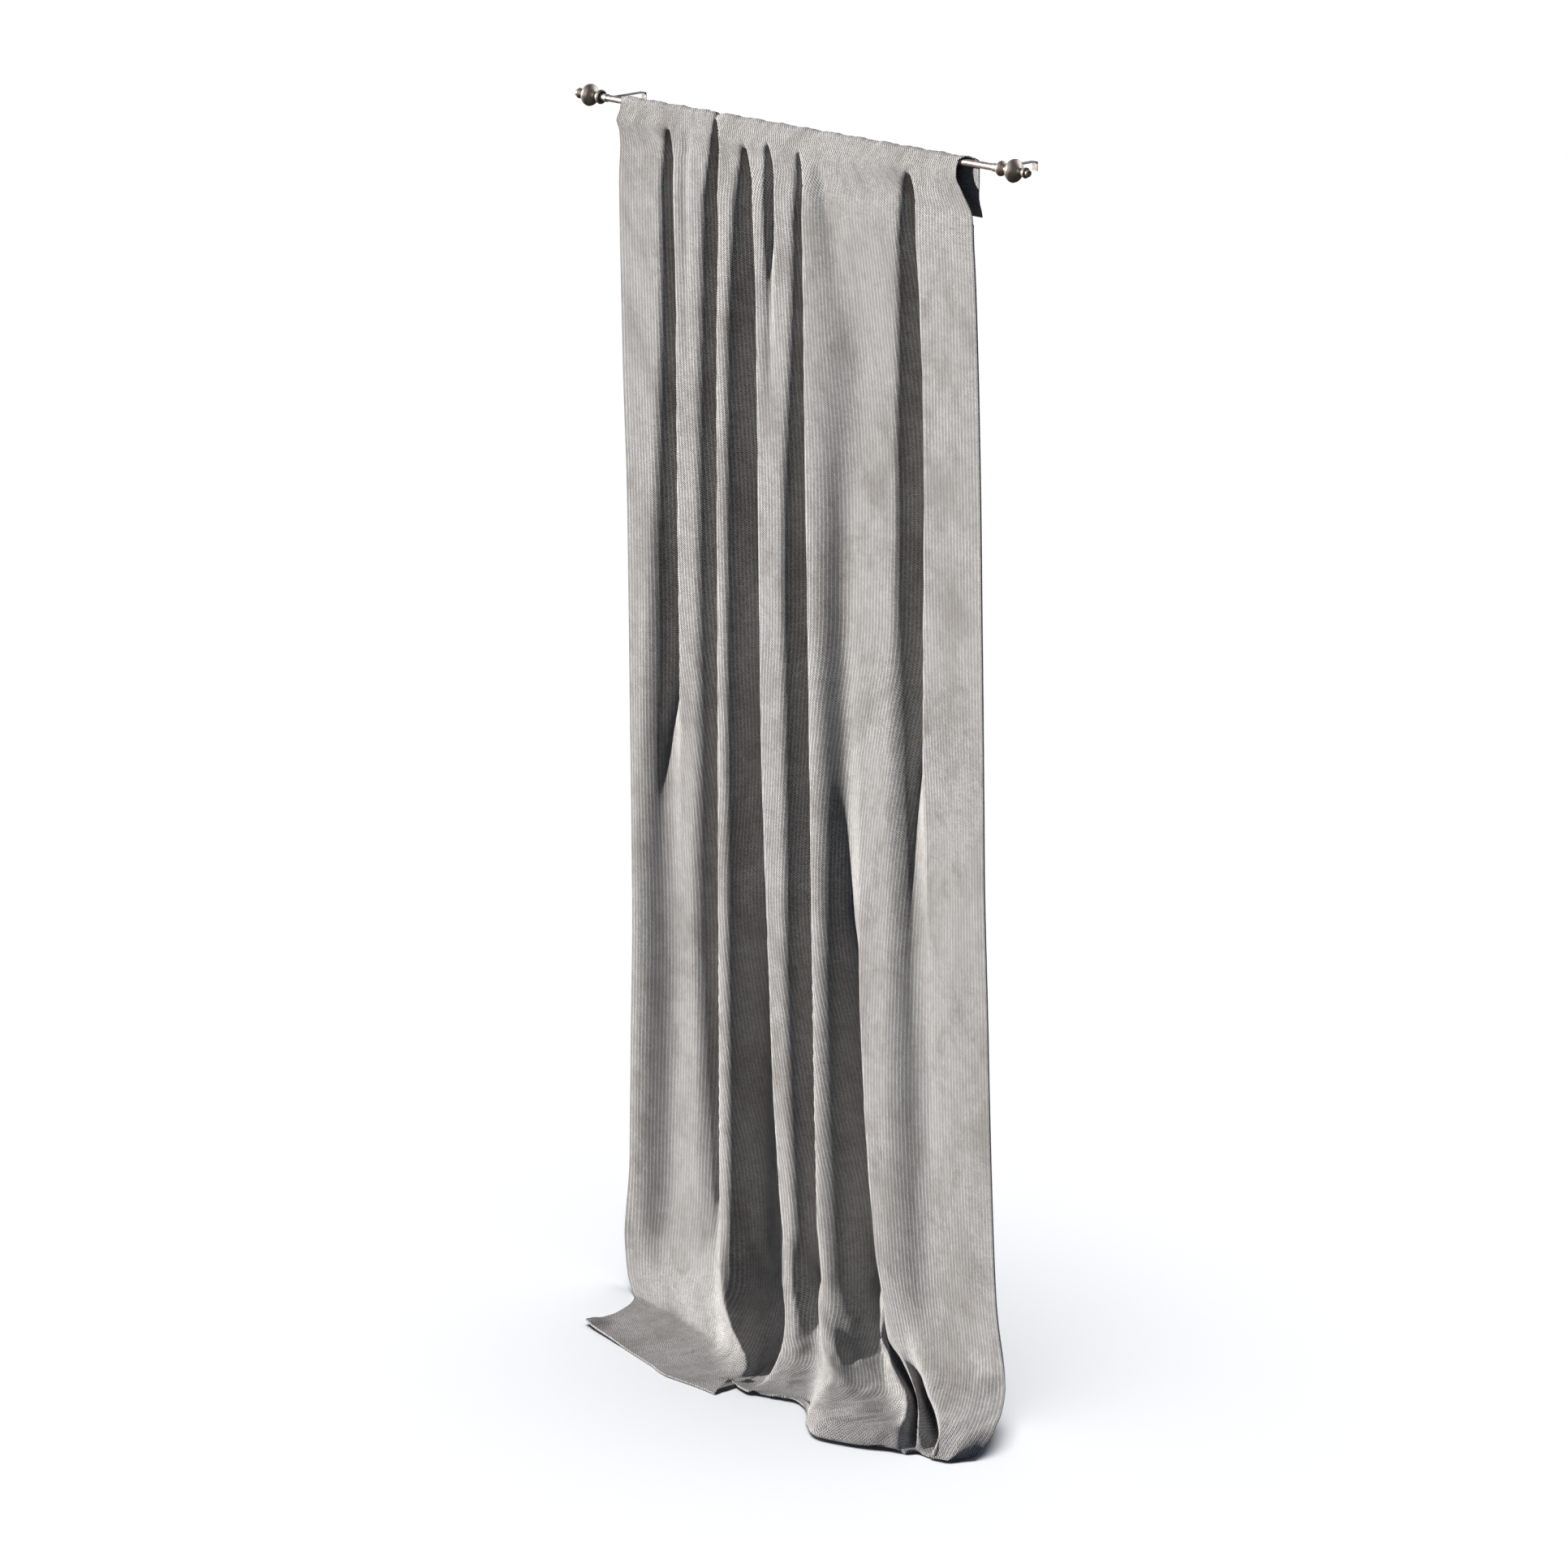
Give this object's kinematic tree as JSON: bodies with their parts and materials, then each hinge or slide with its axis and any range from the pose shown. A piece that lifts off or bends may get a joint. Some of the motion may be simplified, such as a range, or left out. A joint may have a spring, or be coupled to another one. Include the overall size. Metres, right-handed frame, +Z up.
{
  "type": "curtain",
  "caption": "Long rod-pocket fabric curtain in deep folds on a thin metal rod with turned ball finials and bent-strip wall brackets, its hem pooled forward on the floor.",
  "frame": {"origin": "on the wall plane, midway between the screw holes of the two bracket plates", "axes": "+Z up, +Y into the wall, X along the rod with +X to the right as seen from the room"},
  "size_m": [1.267, 0.438, 2.4598],
  "materials": {
    "cloth": "coarse warp-knit cloth, warm light grey, matt, with faint brown blotches",
    "hem_cloth": "the same cloth, doubled and sewn",
    "rod_metal": "antique nickel plate, satin",
    "finial_metal": "antique nickel plate, smooth, darker in the grooves",
    "band_metal": "antique nickel plate, polished",
    "bracket_metal": "antique nickel plate on bent strip",
    "thread_steel": "bright zinc"
  },
  "bodies": {
    "brackets": {"bracket_left": "bracket_metal", "bracket_right": "bracket_metal"},
    "rod": {"rod_tube": "rod_metal", "rod_insert_left": "thread_steel", "rod_insert_right": "thread_steel"},
    "finial_left": {"finial_cup_left": "finial_metal", "finial_inner_shell_left": "finial_metal", "finial_band_left": "band_metal", "finial_outer_shell_left": "finial_metal", "finial_tip_cup_left": "finial_metal", "finial_knob_left": "band_metal", "finial_stud_left": "thread_steel"},
    "finial_right": {"finial_cup_right": "finial_metal", "finial_inner_shell_right": "finial_metal", "finial_band_right": "band_metal", "finial_outer_shell_right": "finial_metal", "finial_tip_cup_right": "finial_metal", "finial_knob_right": "band_metal", "finial_stud_right": "thread_steel"},
    "curtain": {"rod_pocket": "cloth", "curtain_panel": "cloth", "side_hem_left": "hem_cloth", "side_hem_right": "hem_cloth", "bottom_hem": "hem_cloth"}
  },
  "joints": [
    {"name": "rod_turn", "type": "hinge", "parent": "brackets", "child": "rod", "pos_m": [0, -0.103, 0.01], "axis": [1, 0, 0], "continuous": true},
    {"name": "left_finial_turn", "type": "hinge", "parent": "rod", "child": "finial_left", "pos_m": [-0.525, -0.103, 0.01], "axis": [1, 0, 0], "range_deg": [0, 360]},
    {"name": "right_finial_turn", "type": "hinge", "parent": "rod", "child": "finial_right", "pos_m": [0.525, -0.103, 0.01], "axis": [1, 0, 0], "range_deg": [0, 360]},
    {"name": "curtain_slide", "type": "slide", "parent": "brackets", "child": "curtain", "axis": [1, 0, 0], "range_m": [-0.03, 0.04]}
  ]
}
